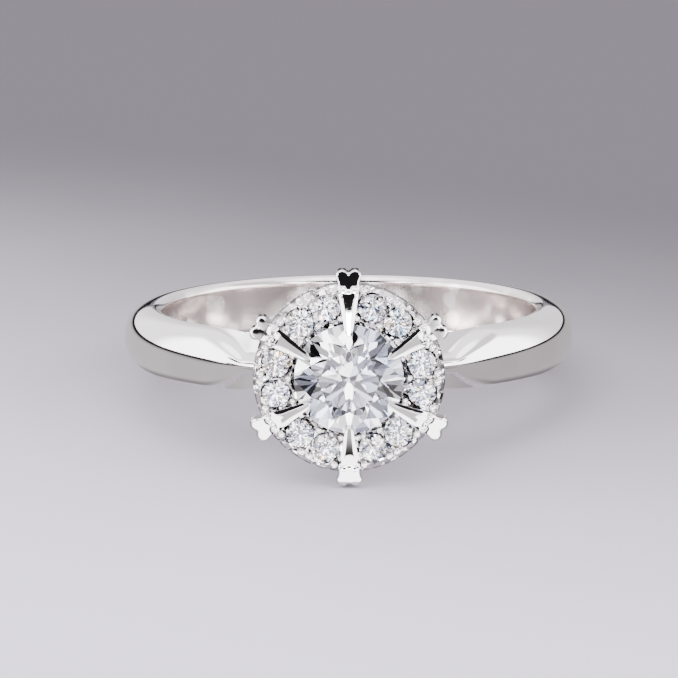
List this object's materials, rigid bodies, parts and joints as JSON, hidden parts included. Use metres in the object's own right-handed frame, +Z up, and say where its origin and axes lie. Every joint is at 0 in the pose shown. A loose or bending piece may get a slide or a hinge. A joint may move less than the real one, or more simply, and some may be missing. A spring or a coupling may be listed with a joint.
{
  "type": "halo ring",
  "caption": "Finger ring with a round centre stone in six heart-ended claws above a halo of small round stones, on a polished shank with pinched shoulders.",
  "frame": {"origin": "middle of the underside of the ring as it lies on its side", "axes": "+Z up, the head faces -Y, +X to the right seen from the front"},
  "size_m": [0.0204, 0.0234, 0.0094],
  "materials": {
    "white_metal": "mirror-polished white precious metal",
    "clear_stone": "faceted and polished clear stone"
  },
  "bodies": {
    "root": {"ring_mounting": "white_metal", "centre_stone": "clear_stone", "accent_stone_01": "clear_stone", "accent_stone_02": "clear_stone", "accent_stone_03": "clear_stone", "accent_stone_04": "clear_stone", "accent_stone_05": "clear_stone", "accent_stone_06": "clear_stone", "accent_stone_07": "clear_stone", "accent_stone_08": "clear_stone", "accent_stone_09": "clear_stone", "accent_stone_10": "clear_stone", "accent_stone_11": "clear_stone", "accent_stone_12": "clear_stone"}
  },
  "joints": []
}
